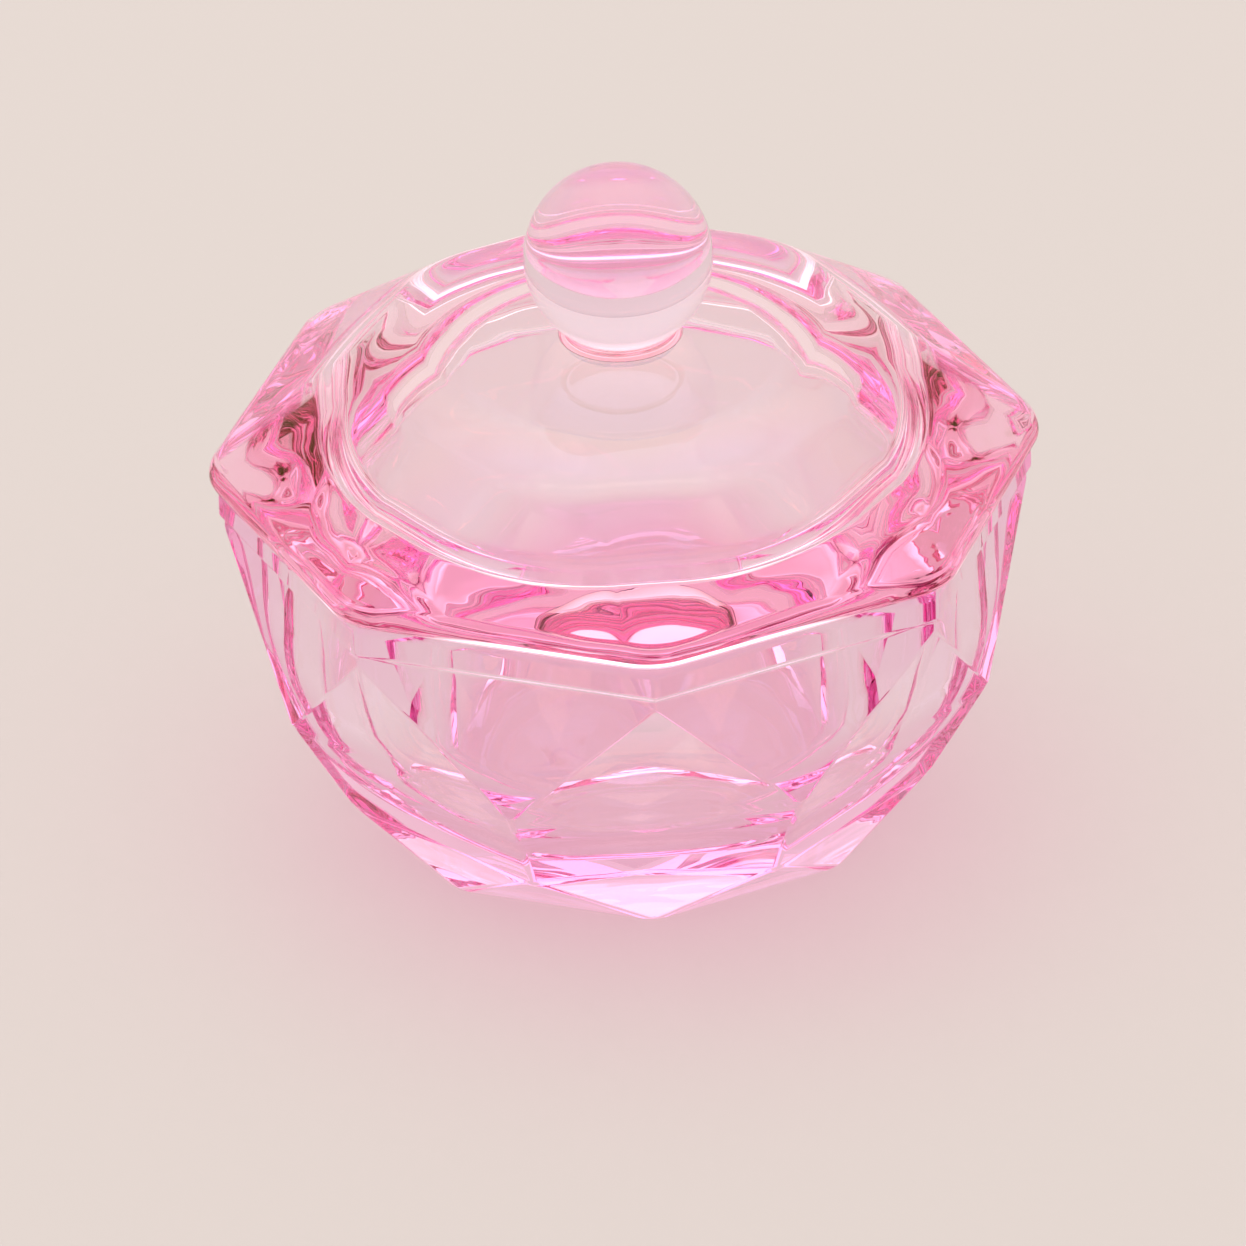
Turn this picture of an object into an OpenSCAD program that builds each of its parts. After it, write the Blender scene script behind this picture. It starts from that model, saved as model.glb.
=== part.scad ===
// Faceted glass dappen dish with a loose lid and a ball knob.
// Lengths are in millimetres. The origin is the centre of the foot's underside, with +Z up.
// The bowl and the lid are eight-sided, and their corners lie at 0, 45, 90... degrees about Z.

/* [Bowl] */
// Size of the rim across opposite corners
rim_across = 52; // [48:1:56]
// Height of the rim face above the foot's underside
bowl_h = 24; // [22:0.5:28]
// Height of the upright band under the rim face
rim_band_h = 2.2; // [1.6:0.2:3.6]
// How far the upright band stands out from the star facets below it
rim_step = 0.35; // [0.15:0.05:0.5]
// Size of the foot across opposite corners
foot_across = 34.2; // [32:0.2:36]
// Height of the lower girdle, where the foot facets end
low_h = 4.2; // [3.6:0.2:5]
// Size of the lower girdle across opposite corners
low_across = 40.2; // [39.4:0.2:41]
// Height of the middle girdle, where the star facets begin
mid_h = 11.2; // [10.6:0.2:12]
// Size of the middle girdle across opposite corners
mid_across = 48; // [47.2:0.2:48.4]

/* [Cavity] */
// Diameter of the seat in the rim that takes the lid's locating ring
seat_d = 35.8; // [35:0.2:36.4]
// Depth of clear space between the locating ring and the seat's shoulder
seat_gap = 0.6; // [0.4:0.1:1]
// Diameter of the cavity where its wall meets the rounded floor
cavity_d = 33.2; // [31.2:0.4:33.6]
// How much further from the axis the cavity's wall lies at the seat than at the floor
cavity_draft = 0.3; // [0.1:0.1:0.5]
// Radius of the round between the cavity's wall and its floor
cavity_round = 8; // [5:0.5:9]
// Thickness of the glass under the cavity
floor_t = 5; // [4:0.5:7]

/* [Lid] */
// Size of the lid across opposite corners
lid_across = 53.6; // [51:0.4:57]
// Height of the upright girdle round the lid's edge
girdle_h = 1.4; // [0.8:0.2:2.4]
// Height of the sloping crown facets
crown_h = 8; // [7:0.5:10]
// Size of the flat table across opposite corners
table_across = 31; // [28:0.5:34]
// Depth of the locating ring below the lid's rest face
ring_h = 1.8; // [1:0.2:3]
// Radial gap between the locating ring and the bowl's seat
ring_gap = 0.7; // [0.4:0.1:1]
// Wall thickness of the locating ring
ring_t = 1.4; // [1:0.1:1.6]
// Height of the recess's upright wall above the lid's rest face
recess_wall_h = 0.6; // [0.4:0.1:1]
// Diameter of the recess's flat ceiling if its edge were sharp
ceiling_d = 24; // [22:0.5:26]
// Thickness of the glass between the table and the lid's recess
table_t = 4.2; // [3.4:0.2:5]
// Radius of the round between the recess's sloping wall and its ceiling
recess_round = 5; // [3:0.5:6]

/* [Knob] */
// Diameter of the ball
ball_d = 12; // [10:0.1:15]
// Depth of the ball's lowest point below the table
ball_sink = 0.6; // [0.3:0.1:1]
// Thickness of the adhesive film under the ball
film_t = 0.15; // [0.1:0.05:0.3]
// Width of the adhesive bead's foot, beyond the ball at the bead's top edge
bead_w = 0.35; // [0.2:0.05:0.6]
// Height of the adhesive bead up the ball
bead_h = 0.6; // [0.4:0.1:1.2]

/* [Hidden] */

$fn = 96;
sides = 8;
step_a = 360 / sides;
half_step = step_a / 2;
// Turns a corner radius of the octagon into the distance of its flat side
flat_k = cos(half_step);
eps = 0.01;

rim_r = rim_across / 2;
foot_r = foot_across / 2;
low_r = low_across / 2;
mid_r = mid_across / 2;
band_z = bowl_h - rim_band_h;

seat_r = seat_d / 2;
seat_depth = ring_h + seat_gap;
seat_z = bowl_h - seat_depth;
cavity_r = cavity_d / 2;
cavity_top_r = cavity_r + cavity_draft;

lid_r = lid_across / 2;
table_r = table_across / 2;
crown_z = bowl_h + girdle_h;
table_z = crown_z + crown_h;
ring_r = seat_r - ring_gap;
ring_z = bowl_h - ring_h;
recess_r = ring_r - ring_t;
ceiling_r = ceiling_d / 2;
ceiling_z = table_z - table_t;

ball_r = ball_d / 2;
ball_z = table_z - ball_sink + ball_r;
socket_r = ball_r + film_t;
// Radius of the ball at the top edge of the bead
bead_top_r = sqrt(pow(ball_r, 2) - pow(ball_z - table_z - bead_h, 2));
bead_r = bead_top_r + bead_w;

// Point at height z on the line through points p and q of a wall's outline
function at_height(p, q, z) = [p.x + (q.x - p.x) * (z - p.y) / (q.y - p.y), z];

// Height at which the line through a and b crosses the line through c and d
function crossing_height(a, b, c, d) =
    let(s = (b.x - a.x) / (b.y - a.y), t = (d.x - c.x) / (d.y - c.y))
    (c.x - a.x + s * a.y - t * c.y) / (s - t);

// A block whose two facing walls follow an outline of [distance from the axis, height] points
module facing_walls(outline, turn) {
    last = len(outline) - 1;
    mirrored = [for (i = [last:-1:0]) [-outline[i].x, outline[i].y]];
    rotate([0, 0, turn])
        rotate([90, 0, 0])
            linear_extrude(height = 2 * lid_across, center = true)
                polygon(concat(outline, mirrored));
}

// The solid whose eight walls, the first facing the angle turn, all follow the outline
module facet_tier(outline, turn) {
    intersection_for (i = [0:sides / 2 - 1])
        facing_walls(outline, turn + i * step_a);
}

// Walls that face the corners: foot facets, trapezoids, then the star's upright triangles
module bowl_corner_tier() {
    mid = [mid_r * flat_k, mid_h];
    facet_tier([
        [foot_r, 0],
        [low_r * flat_k, low_h],
        mid,
        at_height(mid, [rim_r, band_z], bowl_h)
    ], 0);
}

// Walls that face the sides: foot triangles, the star's hanging triangles, then the rim band
module bowl_side_tier() {
    foot = [foot_r * flat_k, 0];
    low = [low_r, low_h];
    mid = [mid_r, mid_h];
    band = [rim_r * flat_k, band_z];
    star_top = [band.x - rim_step, band_z - rim_step];
    meet_z = crossing_height(foot, low, mid, star_top);
    facet_tier([foot, at_height(foot, low, meet_z), star_top, band, [band.x, bowl_h]], half_step);
}

// A round hollow, open at the height of the point rim, whose wall runs to the point corner,
// where an arc of radius edge_r joins it to the flat closed end
module round_hollow(rim, corner, edge_r) {
    wall = (rim - corner) / norm(rim - corner);
    inward = [-1, 0];
    half = acos(wall * inward) / 2;
    on_wall = corner + wall * edge_r / tan(half);
    on_end = corner + inward * edge_r / tan(half);
    centre = corner + (wall + inward) / norm(wall + inward) * edge_r / sin(half);
    rotate_extrude() {
        polygon([[0, corner.y], on_end, on_wall, rim, [0, rim.y]]);
        intersection() {
            translate(centre)
                circle(r = edge_r);
            polygon([
                centre,
                centre + 2 * (on_wall - centre),
                centre + 2 * (corner - centre),
                centre + 2 * (on_end - centre)
            ]);
        }
    }
}

module bowl() {
    color("HotPink", 0.6)
        difference() {
            intersection() {
                bowl_corner_tier();
                bowl_side_tier();
            }
            round_hollow([cavity_top_r, seat_z + eps], [cavity_r, floor_t], cavity_round);
            translate([0, 0, seat_z])
                cylinder(r = seat_r, h = seat_depth + eps);
        }
}

// The eight crown facets above the upright girdle
module lid_crown() {
    facet_tier([
        [lid_r * flat_k, bowl_h],
        [lid_r * flat_k, crown_z],
        [table_r * flat_k, table_z]
    ], half_step);
}

module lid() {
    color("HotPink", 0.6)
        difference() {
            union() {
                lid_crown();
                translate([0, 0, ring_z])
                    cylinder(r = ring_r, h = ring_h + girdle_h);
            }
            translate([0, 0, ring_z - eps])
                cylinder(r = recess_r, h = ring_h + recess_wall_h + eps);
            round_hollow([recess_r, bowl_h + recess_wall_h - eps], [ceiling_r, ceiling_z], recess_round);
            translate([0, 0, ball_z])
                sphere(r = socket_r);
        }
}

module ball_knob() {
    color("LavenderBlush", 0.5)
        translate([0, 0, ball_z])
            sphere(r = ball_r);
}

// The film that fills the ball's seat, and the bead that rises round the ball
module knob_adhesive() {
    color("PeachPuff", 0.7)
        difference() {
            union() {
                translate([0, 0, table_z])
                    cylinder(r1 = bead_r, r2 = bead_top_r, h = bead_h);
                intersection() {
                    translate([0, 0, ball_z])
                        sphere(r = socket_r);
                    translate([0, 0, ball_z - socket_r])
                        cylinder(r = socket_r, h = table_z - ball_z + socket_r);
                }
            }
            translate([0, 0, ball_z])
                sphere(r = ball_r);
        }
}

bowl();
lid();
ball_knob();
knob_adhesive();
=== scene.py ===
"""Looks of the faceted glass dappen dish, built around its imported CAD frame."""
import math

import bmesh
import bpy
from mathutils import Matrix, Vector


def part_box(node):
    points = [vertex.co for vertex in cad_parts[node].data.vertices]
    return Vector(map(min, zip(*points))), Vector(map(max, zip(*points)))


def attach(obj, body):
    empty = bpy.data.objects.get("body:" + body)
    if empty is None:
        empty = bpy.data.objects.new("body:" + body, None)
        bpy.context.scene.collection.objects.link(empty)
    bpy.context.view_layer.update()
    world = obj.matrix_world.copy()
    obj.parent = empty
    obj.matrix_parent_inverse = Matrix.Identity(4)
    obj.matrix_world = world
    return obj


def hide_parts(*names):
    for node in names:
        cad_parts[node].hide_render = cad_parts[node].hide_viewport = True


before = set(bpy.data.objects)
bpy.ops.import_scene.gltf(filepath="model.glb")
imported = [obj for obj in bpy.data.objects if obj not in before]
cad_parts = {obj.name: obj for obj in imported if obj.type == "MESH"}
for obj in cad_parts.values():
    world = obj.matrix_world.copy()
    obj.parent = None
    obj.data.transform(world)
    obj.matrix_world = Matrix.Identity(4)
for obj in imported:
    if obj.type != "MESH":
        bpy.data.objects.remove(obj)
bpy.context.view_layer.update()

MM = 0.001

# Shape, in millimetres and degrees
SIDES = 8
SIDE_STEP = 360 / SIDES
TO_FLAT = math.cos(math.radians(SIDE_STEP / 2))     # corner radius of an octagon to the distance of its sides
ROUND_SEGMENTS = 5
TURN_SEGMENTS = 160
ARC_STEPS = 10
CORNER_STEPS = 10
CONTACT_GAP = 0.04      # air between the dry faces of lid and bowl
OPTICAL_LAP = 0.02      # how far the bead runs into the ball's side and the lid's table, so light crosses
NEAR = 0.006            # heights closer than this belong to one level
READ_MARGIN = 1.0       # a hollow is read from this far above the foot, or to this far below the knob's seat
FLAT_HEIGHT = 0.01      # a flat face's centre lies this close to its height
FLAT_NORMAL = 0.99      # and its normal is at least this upright

# Roundings of the pressed glass, in millimetres
STAR_EDGE = 0.35        # the bowl's facets
RIM_EDGE = 0.8          # the bowl's rim
STEP_EDGE = 0.15        # the step under the rim band
SEAT_LIP = 0.8          # the mouth of the seat
SHOULDER_ROUND = 0.3    # the shoulder under the seat
LID_UNDER_ROUND = 0.6   # the lid's lower edge
LID_GIRDLE_ROUND = 1.5  # where the girdle turns into the crown
LID_TABLE_ROUND = 5.0   # where the crown turns into the table
LID_CORNER_ROUND = 4.5  # the lid's upright corners, at the girdle
TABLE_CORNER_ROUND = 8.0
RING_ROUND = 0.3        # where the locating ring leaves the rest face
RECESS_WALL_ROUND = 1.5 # where the recess's wall turns inward
MOST_CORNER = 0.9       # largest corner rounding, as a share of the octagon's flat radius
RING_END_SHARE = 0.45   # rounding of the ring's lower edges, as a share of its thickness
BEAD_PULL_OUT = 0.25    # how far the bead's hollow curve is drawn out from the ball
BEAD_PULL_UP = 0.3      # and up from the table
BALL_DETAIL = 6

# Glass: absorption of red, green and blue light per metre
BOWL_LOSS = (0.0, 15.0, 5.0)
LID_LOSS = (0.0, 17.0, 8.5)
BALL_LOSS = (0.0, 18.0, 5.0)
NO_LOSS = (0.0, 0.0, 0.0)
CLEAR = (1.0, 1.0, 1.0)
BOND_TINT = (1.0, 0.90, 0.86)   # the adhesive is tinted at its surface only, because it laps into the glass
GLASS_IOR = 1.5
BOND_IOR = 1.48
FILM_NM = 305.0         # a film this thick reflects little green, which gives the pink sheen
FILM_SPREAD = 0.08
FILM_IOR = 1.33
RIPPLE = 0.05 * MM      # depth of the waviness of pressed glass
RIPPLE_SCALE = 190

# Light
WORLD_LIGHT = 2.2
BACKDROP = (0.41, 0.375, 0.345)
TENT = (1.0, 0.98, 0.965)
CAMERA_SIDE = (0.50, 0.46, 0.46)    # dims the tent round the camera, which draws dark lines in the glass
FLOOR_COLOUR = (0.443, 0.403, 0.385)
SHADOW_TINT = (1.0, 0.965, 0.98)    # colour that each glass surface adds to the light reaching the floor
HORIZON_TOP = 0.45      # the backdrop reaches up to here
TENT_START = 0.95       # and the tent is at full brightness from here
DIM_START = 0.86
DIM_FULL = 0.97
FLOOR_SIZE = 8.0
FLOOR_GAP = 0.02 * MM   # air under the foot
FLOOR_ROUGHNESS = 0.75
KEY_PLACE = (-0.3, 0.45, 1.2)
KEY_SIZE = (1.4, 0.9)
KEY_POWER = 6.0
KEY_COLOUR = (1, 0.98, 0.96)
LIGHT_AIM = Vector((0, 0, 0.02))

# Camera
CAMERA_LENS = 400
CAMERA_SENSOR = 36
CAMERA_TURN = 3.2
CAMERA_RISE = 31.0
CAMERA_ROLL = 1.85
FRAME_WIDTH = 80.3 * MM
AIM_RIGHT = -0.77 * MM
AIM_UP = 10.15 * MM

# ---------------------------------------------------------------- reading the frame

def cad_points(node):
    """The node's vertices in millimetres."""
    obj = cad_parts[node]
    return [obj.matrix_world @ v.co / MM for v in obj.data.vertices]


def radius(point):
    return math.hypot(point.x, point.y)


def radii_at(points, z):
    """The different radii of the points at height z, the smallest first."""
    return sorted({round(radius(p), 2) for p in points if abs(p.z - z) < NEAR})


def level_of(points, r):
    """Lowest height at which the points lie r from the axis."""
    return min(p.z for p in points if abs(radius(p) - r) < 2 * NEAR)


def inner_profile(points, low, high):
    """The (radius, height) outline of a turned hollow between two heights, from the lowest up."""
    heights = sorted({round(p.z, 2) for p in points if low - NEAR < p.z < high + NEAR})
    profile = [(radii_at(points, z)[0], z) for z in heights]
    return [(r, z) for r, z in profile if not is_corner_level(points, z, r)]


def is_corner_level(points, z, r):
    """True when the points at height z and radius r are only the corners of an eight-sided wall."""
    level = [p for p in points if abs(p.z - z) < NEAR and abs(radius(p) - r) < 2 * NEAR]
    return len({(round(p.x, 1), round(p.y, 1)) for p in level}) == SIDES


# ---------------------------------------------------------------- mesh helpers

def outer_rings(points):
    """The corner rings of an eight-sided wall, from the lowest up, as (radius, height, turn)."""
    rings = []
    for z in sorted({round(p.z, 2) for p in points}):
        outermost = radii_at(points, z)[-1]
        if not is_corner_level(points, z, outermost):
            continue
        corner = next(p for p in points if abs(p.z - z) < NEAR and abs(radius(p) - outermost) < 2 * NEAR)
        turn = math.degrees(math.atan2(corner.y, corner.x)) % SIDE_STEP
        rings.append((outermost, z, SIDE_STEP / 2 if SIDE_STEP / 4 < turn < SIDE_STEP * 3 / 4 else 0))
    return rings


def faceted_shell(rings, edge_width):
    """A closed eight-sided solid through the corner rings, with each edge rounded by edge_width(edge)."""
    bm = bmesh.new()
    loops = []
    for r, z, turn in rings:
        angles = [math.radians(turn + i * SIDE_STEP) for i in range(SIDES)]
        loops.append([bm.verts.new((r * math.cos(a), r * math.sin(a), z)) for a in angles])
    bm.faces.new(reversed(loops[0]))
    bm.faces.new(loops[-1])
    for low, high, low_ring, high_ring in zip(loops, loops[1:], rings, rings[1:]):
        for i in range(SIDES):
            j = (i + 1) % SIDES
            if low_ring[2] == high_ring[2]:
                bm.faces.new((low[i], low[j], high[j], high[i]))
            elif low_ring[2] < high_ring[2]:
                bm.faces.new((low[i], low[j], high[i]))
                bm.faces.new((low[j], high[j], high[i]))
            else:
                bm.faces.new((low[i], high[j], high[i]))
                bm.faces.new((low[i], low[j], high[j]))
    widest = max(edge_width(e) for e in bm.edges)
    weights = bm.edges.layers.float.new("bevel_weight_edge")
    for e in bm.edges:
        e[weights] = edge_width(e) / widest
    mesh = bpy.data.meshes.new("shell")
    bm.to_mesh(mesh)
    bm.free()
    holder = bpy.data.objects.new("shell", mesh)
    bpy.context.scene.collection.objects.link(holder)
    bevel = holder.modifiers.new("round", "BEVEL")
    bevel.width = widest
    bevel.segments = ROUND_SEGMENTS
    bevel.limit_method = "WEIGHT"
    bevel.use_clamp_overlap = False
    bpy.context.view_layer.update()
    result = bmesh.new()
    result.from_object(holder, bpy.context.evaluated_depsgraph_get())
    bpy.data.objects.remove(holder)
    bpy.data.meshes.remove(mesh)
    return result


def rounded_path(corners):
    """A path through (across, height, rounding) corners, with an arc of that radius at each inner one."""
    path = [corners[0][:2]]
    for before, here, after in zip(corners, corners[1:], corners[2:]):
        corner = Vector(here[:2])
        back = (Vector(before[:2]) - corner).normalized()
        ahead = (Vector(after[:2]) - corner).normalized()
        half = back.angle(ahead) / 2
        centre = corner + (back + ahead).normalized() * here[2] / math.sin(half)
        start = corner + back * here[2] / math.tan(half) - centre
        turn = -(start.angle_signed(corner + ahead * here[2] / math.tan(half) - centre))
        for i in range(ARC_STEPS + 1):
            angle = turn * i / ARC_STEPS
            x = start.x * math.cos(angle) - start.y * math.sin(angle)
            y = start.x * math.sin(angle) + start.y * math.cos(angle)
            path.append((centre.x + x, centre.y + y))
    path.append(corners[-1][:2])
    return path


def octagon(flat_r, corner_round, turn):
    """The outline of an octagon whose sides lie flat_r from its centre and whose corners are rounded."""
    half_side = math.radians(SIDE_STEP / 2)
    reach = (flat_r - corner_round) / math.cos(half_side)
    outline = []
    for i in range(SIDES):
        middle = math.radians(turn + i * SIDE_STEP)
        for k in range(CORNER_STEPS + 1):
            angle = middle - half_side + 2 * half_side * k / CORNER_STEPS
            x = reach * math.cos(middle) + corner_round * math.cos(angle)
            y = reach * math.sin(middle) + corner_round * math.sin(angle)
            outline.append((x, y))
    return outline


def octagon_loft(path, corner_round_at, turn):
    """A closed solid whose rounded octagon sections follow a path of (flat radius, height) points."""
    bm = bmesh.new()
    loops = [
        [bm.verts.new((x, y, z)) for x, y in octagon(flat_r, corner_round_at(flat_r), turn)]
        for flat_r, z in path
    ]
    count = len(loops[0])
    for low, high in zip(loops, loops[1:]):
        for i in range(count):
            j = (i + 1) % count
            bm.faces.new((low[i], low[j], high[j], high[i]))
    bm.faces.new(reversed(loops[0]))
    bm.faces.new(loops[-1])
    bm.normal_update()
    return bm


def open_flat_face(bm, z):
    """Removes the largest flat face at height z and returns the edges that it leaves open."""
    level = [f for f in bm.faces if abs(f.calc_center_median().z - z) < FLAT_HEIGHT]
    face = max((f for f in level if abs(f.normal.z) > FLAT_NORMAL), key=lambda f: f.calc_area())
    rim = list(face.edges)
    bmesh.ops.delete(bm, geom=[face], context="FACES_ONLY")
    return rim


def arc(centre_r, centre_z, r, start, end):
    """Points of an arc, from angle start to angle end in degrees, in the radius and height plane."""
    angles = [math.radians(start + (end - start) * i / ARC_STEPS) for i in range(ARC_STEPS + 1)]
    return [(centre_r + r * math.cos(a), centre_z + r * math.sin(a)) for a in angles]


def turned_surface(bm, outline):
    """Turns an outline of (radius, height) points that ends on the axis, and returns its first edge loop."""
    loops = []
    for r, z in outline[:-1]:
        loops.append([
            bm.verts.new((r * math.cos(a), r * math.sin(a), z))
            for a in (2 * math.pi * i / TURN_SEGMENTS for i in range(TURN_SEGMENTS))
        ])
    for upper, lower in zip(loops, loops[1:]):
        for i in range(TURN_SEGMENTS):
            j = (i + 1) % TURN_SEGMENTS
            bm.faces.new((upper[i], upper[j], lower[j], lower[i]))
    tip = bm.verts.new((0, 0, outline[-1][1]))
    last = loops[-1]
    for i in range(TURN_SEGMENTS):
        bm.faces.new((last[i], last[(i + 1) % TURN_SEGMENTS], tip))
    first = loops[0]
    return [bm.edges.get((first[i], first[(i + 1) % TURN_SEGMENTS])) for i in range(TURN_SEGMENTS)]


def fit_turned_surface(bm, z, outline):
    """Opens the flat face at height z and joins its border to a turned surface."""
    rim = open_flat_face(bm, z)
    loop = turned_surface(bm, outline)
    bmesh.ops.triangle_fill(bm, edges=rim + loop, use_beauty=True)


def make_piece(name, bm, material, body, node):
    """Finishes a millimetre mesh as a smooth-shaded piece in metres that stands for a CAD node."""
    bmesh.ops.recalc_face_normals(bm, faces=bm.faces)
    if bm.calc_volume(signed=True) < 0:
        bmesh.ops.reverse_faces(bm, faces=bm.faces)
    bmesh.ops.scale(bm, vec=(MM, MM, MM), verts=bm.verts)
    for f in bm.faces:
        f.smooth = True
    mesh = bpy.data.meshes.new(name)
    bm.to_mesh(mesh)
    bm.free()
    mesh.materials.append(material)
    obj = bpy.data.objects.new(name, mesh)
    bpy.context.scene.collection.objects.link(obj)
    normals = obj.modifiers.new("flat_facets", "WEIGHTED_NORMAL")
    normals.mode = "FACE_AREA"
    normals.weight = 100
    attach(obj, body)
    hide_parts(node)
    return obj


# ---------------------------------------------------------------- materials

def glass_material(name, ior, tint, loss, ripple):
    """Rippled glass with a thin film, tinted at its surface and, where loss is not zero, in its depth."""
    mat = bpy.data.materials.new(name)
    mat.use_nodes = True
    nodes = mat.node_tree.nodes
    links = mat.node_tree.links
    nodes.clear()
    out = nodes.new("ShaderNodeOutputMaterial")

    coords = nodes.new("ShaderNodeTexCoord")
    noise = nodes.new("ShaderNodeTexNoise")
    noise.inputs["Scale"].default_value = RIPPLE_SCALE
    noise.inputs["Detail"].default_value = 1.0
    links.new(coords.outputs["Object"], noise.inputs["Vector"])
    bump = nodes.new("ShaderNodeBump")
    bump.inputs["Strength"].default_value = 1.0
    bump.inputs["Distance"].default_value = ripple
    links.new(noise.outputs["Fac"], bump.inputs["Height"])

    film = nodes.new("ShaderNodeMapRange")
    film.inputs["To Min"].default_value = FILM_NM * (1 - FILM_SPREAD)
    film.inputs["To Max"].default_value = FILM_NM * (1 + FILM_SPREAD)
    links.new(noise.outputs["Fac"], film.inputs["Value"])

    surface = nodes.new("ShaderNodeBsdfPrincipled")
    surface.inputs["Base Color"].default_value = (*tint, 1)
    surface.inputs["Roughness"].default_value = 0.0
    surface.inputs["IOR"].default_value = ior
    surface.inputs["Transmission Weight"].default_value = 1.0
    surface.inputs["Thin Film IOR"].default_value = FILM_IOR
    links.new(film.outputs["Result"], surface.inputs["Thin Film Thickness"])
    links.new(bump.outputs["Normal"], surface.inputs["Normal"])

    # Shadow and diffuse rays pass straight through, so the glass lights the floor with its own colour
    path = nodes.new("ShaderNodeLightPath")
    either = nodes.new("ShaderNodeMath")
    either.operation = "MAXIMUM"
    links.new(path.outputs["Is Shadow Ray"], either.inputs[0])
    links.new(path.outputs["Is Diffuse Ray"], either.inputs[1])
    clear = nodes.new("ShaderNodeBsdfTransparent")
    clear.inputs["Color"].default_value = (*SHADOW_TINT, 1)
    mix = nodes.new("ShaderNodeMixShader")
    links.new(either.outputs["Value"], mix.inputs["Fac"])
    links.new(surface.outputs["BSDF"], mix.inputs[1])
    links.new(clear.outputs["BSDF"], mix.inputs[2])
    links.new(mix.outputs["Shader"], out.inputs["Surface"])

    most = max(loss)
    if most == 0:
        return mat
    volume = nodes.new("ShaderNodeVolumeAbsorption")
    volume.inputs["Color"].default_value = (*[1 - share / most for share in loss], 1)
    volume.inputs["Density"].default_value = most
    links.new(volume.outputs["Volume"], out.inputs["Volume"])
    return mat


# ---------------------------------------------------------------- pieces

def build_bowl(material):
    points = cad_points("bowl")
    top = max(p.z for p in points)
    seat_r = radii_at(points, top)[0]
    seat_z = level_of(points, seat_r)
    cavity = inner_profile(points, READ_MARGIN, seat_z)

    rings = outer_rings(points)
    step_top = rings[-2][1]
    star_top = rings[-4][1]

    def width(edge):
        low, high = sorted(v.co.z for v in edge.verts)
        if low > step_top + NEAR:
            return RIM_EDGE
        if star_top - NEAR < high < top - NEAR:
            return STEP_EDGE
        return STAR_EDGE

    bm = faceted_shell(rings, width)
    outline = arc(seat_r + SEAT_LIP, top - SEAT_LIP, SEAT_LIP, 90, 180)
    outline += rounded_path([
        (seat_r, seat_z + 2 * SHOULDER_ROUND, 0),
        (seat_r, seat_z, SHOULDER_ROUND),
        (*cavity[-1], SHOULDER_ROUND),
        (*cavity[-2], 0),
    ])
    outline += reversed(cavity[:-2])
    outline += [(cavity[0][0] / 2, cavity[0][1]), (0, cavity[0][1])]
    fit_turned_surface(bm, top, outline)
    return make_piece("bowl_glass", bm, material, "dish_body", "bowl")


def build_lid(material):
    points = cad_points("lid")
    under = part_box("bowl")[1][2] / MM + CONTACT_GAP
    socket_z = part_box("knob_adhesive")[0][2] / MM
    ring_z = min(p.z for p in points)
    recess_r, ring_r = radii_at(points, ring_z)
    wall_z = max(p.z for p in points if abs(radius(p) - recess_r) < 2 * NEAR)
    recess = inner_profile(points, wall_z + 2 * NEAR, socket_z - READ_MARGIN)
    girdle_ring, table_ring = outer_rings(points)[1:]
    girdle_r = girdle_ring[0] * TO_FLAT
    table_r = table_ring[0] * TO_FLAT

    def corner_round(flat_r):
        inward = (girdle_r - flat_r) / (girdle_r - table_r)
        wanted = LID_CORNER_ROUND + (TABLE_CORNER_ROUND - LID_CORNER_ROUND) * inward
        return min(wanted, flat_r * MOST_CORNER)

    path = rounded_path([
        ((girdle_r + ring_r) / 2, under, 0),
        (girdle_r, under, LID_UNDER_ROUND),
        (girdle_r, girdle_ring[1], LID_GIRDLE_ROUND),
        (table_r, table_ring[1], LID_TABLE_ROUND),
        (table_r / 2, table_ring[1], 0),
    ])
    bm = octagon_loft(path, corner_round, girdle_ring[2])
    ring_end = (ring_r - recess_r) * RING_END_SHARE
    outline = rounded_path([
        (ring_r + 2 * RING_ROUND, under, 0),
        (ring_r, under, RING_ROUND),
        (ring_r, ring_z, ring_end),
        (recess_r, ring_z, ring_end),
        (recess_r, wall_z, RECESS_WALL_ROUND),
        (*recess[0], 0),
    ])
    outline += recess[1:]
    outline += [(recess[-1][0] / 2, recess[-1][1]), (0, recess[-1][1])]
    fit_turned_surface(bm, under, outline)
    return make_piece("lid_glass", bm, material, "lid_body", "lid")


def build_knob(material):
    """The knob, a plain glass ball. Its lowest part runs into the lid, which has no seat for it here."""
    low, high = (Vector(c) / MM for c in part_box("ball_knob"))
    ball_r = (high.z - low.z) / 2
    bm = bmesh.new()
    bmesh.ops.create_icosphere(bm, subdivisions=BALL_DETAIL, radius=ball_r)
    bmesh.ops.translate(bm, vec=(0, 0, (low.z + high.z) / 2), verts=bm.verts)
    return make_piece("ball_glass", bm, material, "knob_body", "ball_knob")


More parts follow.
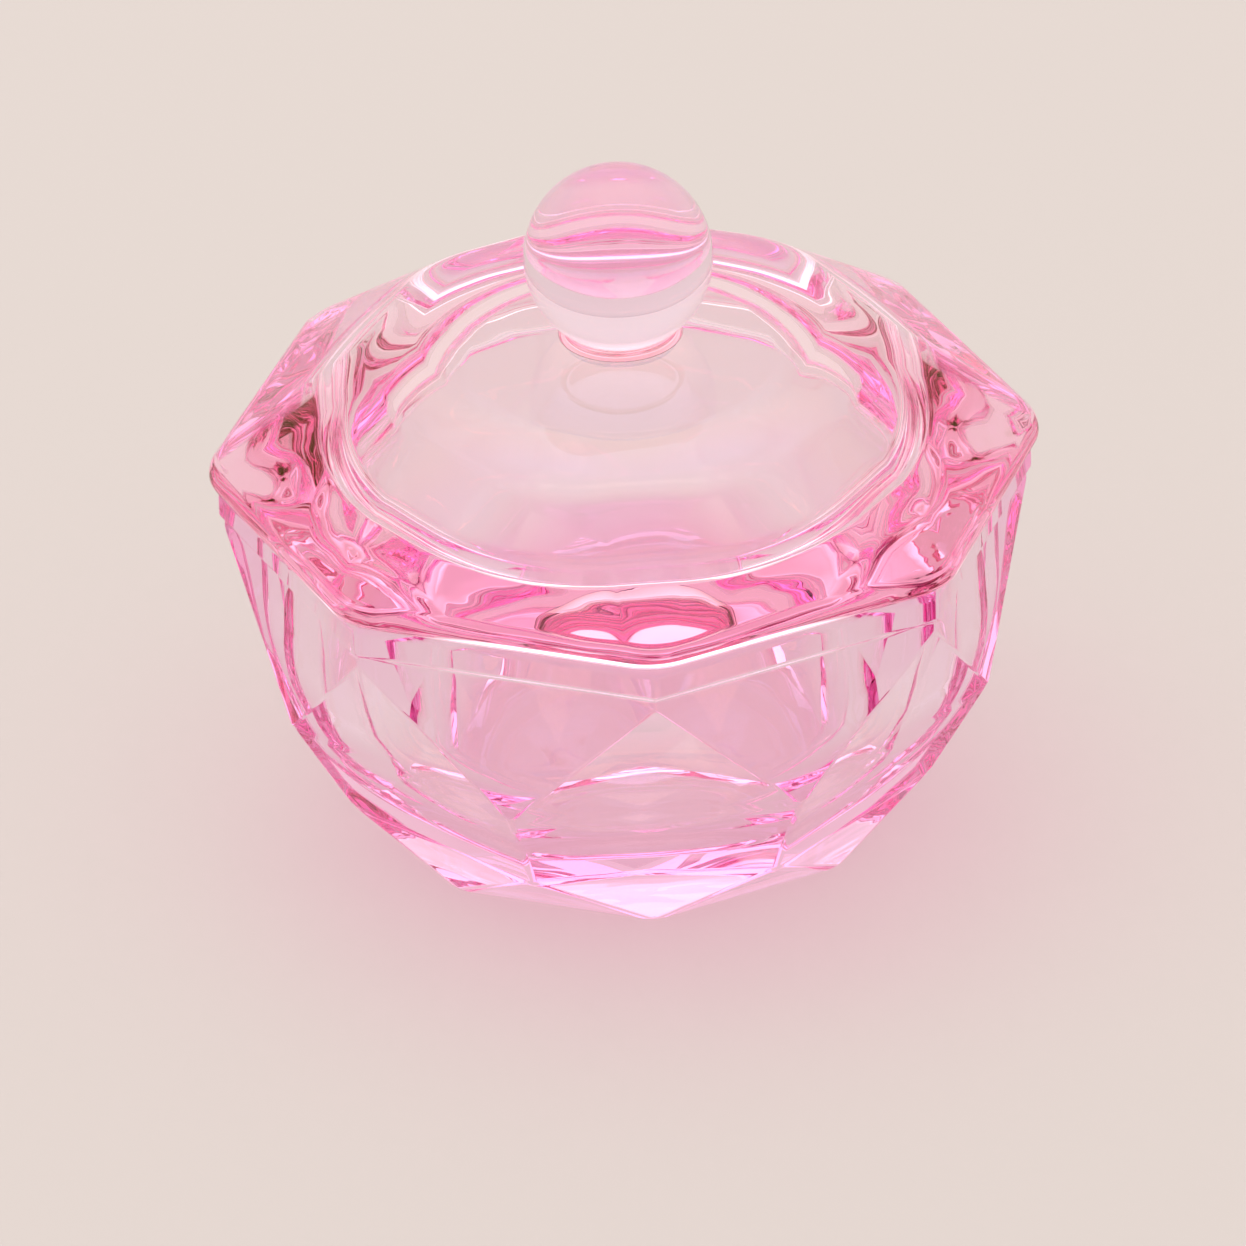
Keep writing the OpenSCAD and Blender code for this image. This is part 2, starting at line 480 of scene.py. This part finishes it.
def build_adhesive(material):
    """The bead, and the cup under the ball. The cup crosses the bead's flat foot below the table."""
    low, high = (Vector(c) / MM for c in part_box("knob_adhesive"))
    ball_low, ball_high = (Vector(c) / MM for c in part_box("ball_knob"))
    table_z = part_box("lid")[1][2] / MM
    ball_r = (ball_high.z - ball_low.z) / 2
    ball_z = (ball_high.z + ball_low.z) / 2
    bead_r = high.x
    top_angle = math.asin((high.z - ball_z) / ball_r)
    inner_r = ball_r - OPTICAL_LAP
    top = (inner_r * math.cos(top_angle), ball_z + inner_r * math.sin(top_angle))
    foot = (bead_r, table_z - OPTICAL_LAP)
    pull = (top[0] + (foot[0] - top[0]) * BEAD_PULL_OUT, foot[1] + (top[1] - foot[1]) * BEAD_PULL_UP)
    bead = []
    for i in range(ARC_STEPS + 1):
        t = i / ARC_STEPS
        bead.append(tuple(
            (1 - t) ** 2 * a + 2 * t * (1 - t) * b + t ** 2 * c for a, b, c in zip(foot, pull, top)
        ))
    bm = bmesh.new()
    cup = arc(0, ball_z, inner_r, math.degrees(top_angle), -90)
    turned_surface(bm, bead + cup[1:])
    foot_loop = [e for e in bm.edges if e.is_boundary]
    bmesh.ops.contextual_create(bm, geom=foot_loop)
    return make_piece("adhesive_bead", bm, material, "knob_body", "knob_adhesive")


# ---------------------------------------------------------------- stage

def build_floor():
    bpy.ops.mesh.primitive_grid_add(x_subdivisions=4, y_subdivisions=4, size=FLOOR_SIZE)
    floor = bpy.context.object
    floor.name = "floor"
    floor.location.z = -FLOOR_GAP
    mat = bpy.data.materials.new("floor")
    mat.use_nodes = True
    bsdf = mat.node_tree.nodes["Principled BSDF"]
    bsdf.inputs["Base Color"].default_value = (*FLOOR_COLOUR, 1)
    bsdf.inputs["Roughness"].default_value = FLOOR_ROUGHNESS
    floor.data.materials.append(mat)


def add_softbox(name, place, size, power, colour):
    light = bpy.data.lights.new(name, "AREA")
    light.shape = "RECTANGLE"
    light.size = size[0]
    light.size_y = size[1]
    light.energy = power
    light.color = colour
    obj = bpy.data.objects.new(name, light)
    obj.visible_glossy = False
    obj.visible_transmission = False
    obj.location = place
    aim = LIGHT_AIM - Vector(place)
    obj.rotation_euler = aim.to_track_quat("-Z", "Y").to_euler()
    bpy.context.scene.collection.objects.link(obj)


def build_world():
    """A light tent: a paper backdrop near the horizon, bright overhead, and dim round the camera."""
    world = bpy.data.worlds.new("studio")
    bpy.context.scene.world = world
    world.use_nodes = True
    nodes = world.node_tree.nodes
    links = world.node_tree.links
    background = nodes["Background"]
    coords = nodes.new("ShaderNodeTexCoord")

    split = nodes.new("ShaderNodeSeparateXYZ")
    links.new(coords.outputs["Generated"], split.inputs["Vector"])
    tent = nodes.new("ShaderNodeValToRGB")
    tent.color_ramp.elements[0].position = HORIZON_TOP
    tent.color_ramp.elements[0].color = (*BACKDROP, 1)
    tent.color_ramp.elements[1].position = TENT_START
    tent.color_ramp.elements[1].color = (*TENT, 1)
    links.new(split.outputs["Z"], tent.inputs["Fac"])

    rise = math.radians(CAMERA_RISE)
    facing = nodes.new("ShaderNodeVectorMath")
    facing.operation = "DOT_PRODUCT"
    facing.inputs[1].default_value = (0, -math.cos(rise), math.sin(rise))
    links.new(coords.outputs["Generated"], facing.inputs[0])
    dim = nodes.new("ShaderNodeValToRGB")
    dim.color_ramp.elements[0].position = DIM_START
    dim.color_ramp.elements[0].color = (1, 1, 1, 1)
    dim.color_ramp.elements[1].position = DIM_FULL
    dim.color_ramp.elements[1].color = (*CAMERA_SIDE, 1)
    links.new(facing.outputs["Value"], dim.inputs["Fac"])

    both = nodes.new("ShaderNodeMix")
    both.data_type = "RGBA"
    both.blend_type = "MULTIPLY"
    both.inputs["Factor"].default_value = 1.0
    links.new(tent.outputs["Color"], both.inputs["A"])
    links.new(dim.outputs["Color"], both.inputs["B"])
    links.new(both.outputs["Result"], background.inputs["Color"])
    background.inputs["Strength"].default_value = WORLD_LIGHT


def build_camera():
    data = bpy.data.cameras.new("camera")
    data.lens = CAMERA_LENS
    data.sensor_width = CAMERA_SENSOR
    cam = bpy.data.objects.new("camera", data)
    bpy.context.scene.collection.objects.link(cam)
    distance = FRAME_WIDTH * CAMERA_LENS / CAMERA_SENSOR
    rise = math.radians(CAMERA_RISE)
    turn = math.radians(CAMERA_TURN)
    back = Vector((-math.sin(turn) * math.cos(rise), -math.cos(turn) * math.cos(rise), math.sin(rise)))
    facing = (-back).to_track_quat("-Z", "Y")
    rolled = facing.to_matrix() @ Matrix.Rotation(math.radians(-CAMERA_ROLL), 3, "Z")
    right = rolled.col[0]
    up = rolled.col[1]
    aim = right * AIM_RIGHT + up * AIM_UP
    cam.location = aim + back * distance
    cam.rotation_euler = rolled.to_euler()
    data.clip_start = 0.01
    data.clip_end = 100
    bpy.context.scene.camera = cam


def set_render_look():
    scene = bpy.context.scene
    scene.view_settings.view_transform = "Standard"
    scene.cycles.max_bounces = 32
    scene.cycles.transmission_bounces = 32
    scene.cycles.glossy_bounces = 16
    scene.cycles.transparent_max_bounces = 32
    scene.cycles.sample_clamp_indirect = 8.0


build_bowl(glass_material("pink_glass", GLASS_IOR, CLEAR, BOWL_LOSS, RIPPLE))
build_lid(glass_material("pink_lid_glass", GLASS_IOR, CLEAR, LID_LOSS, RIPPLE))
build_knob(glass_material("clear_glass", GLASS_IOR, CLEAR, BALL_LOSS, RIPPLE / 4))
build_adhesive(glass_material("cured_adhesive", BOND_IOR, BOND_TINT, NO_LOSS, RIPPLE))
build_floor()
build_world()
add_softbox("key", KEY_PLACE, KEY_SIZE, KEY_POWER, KEY_COLOUR)
build_camera()
set_render_look()
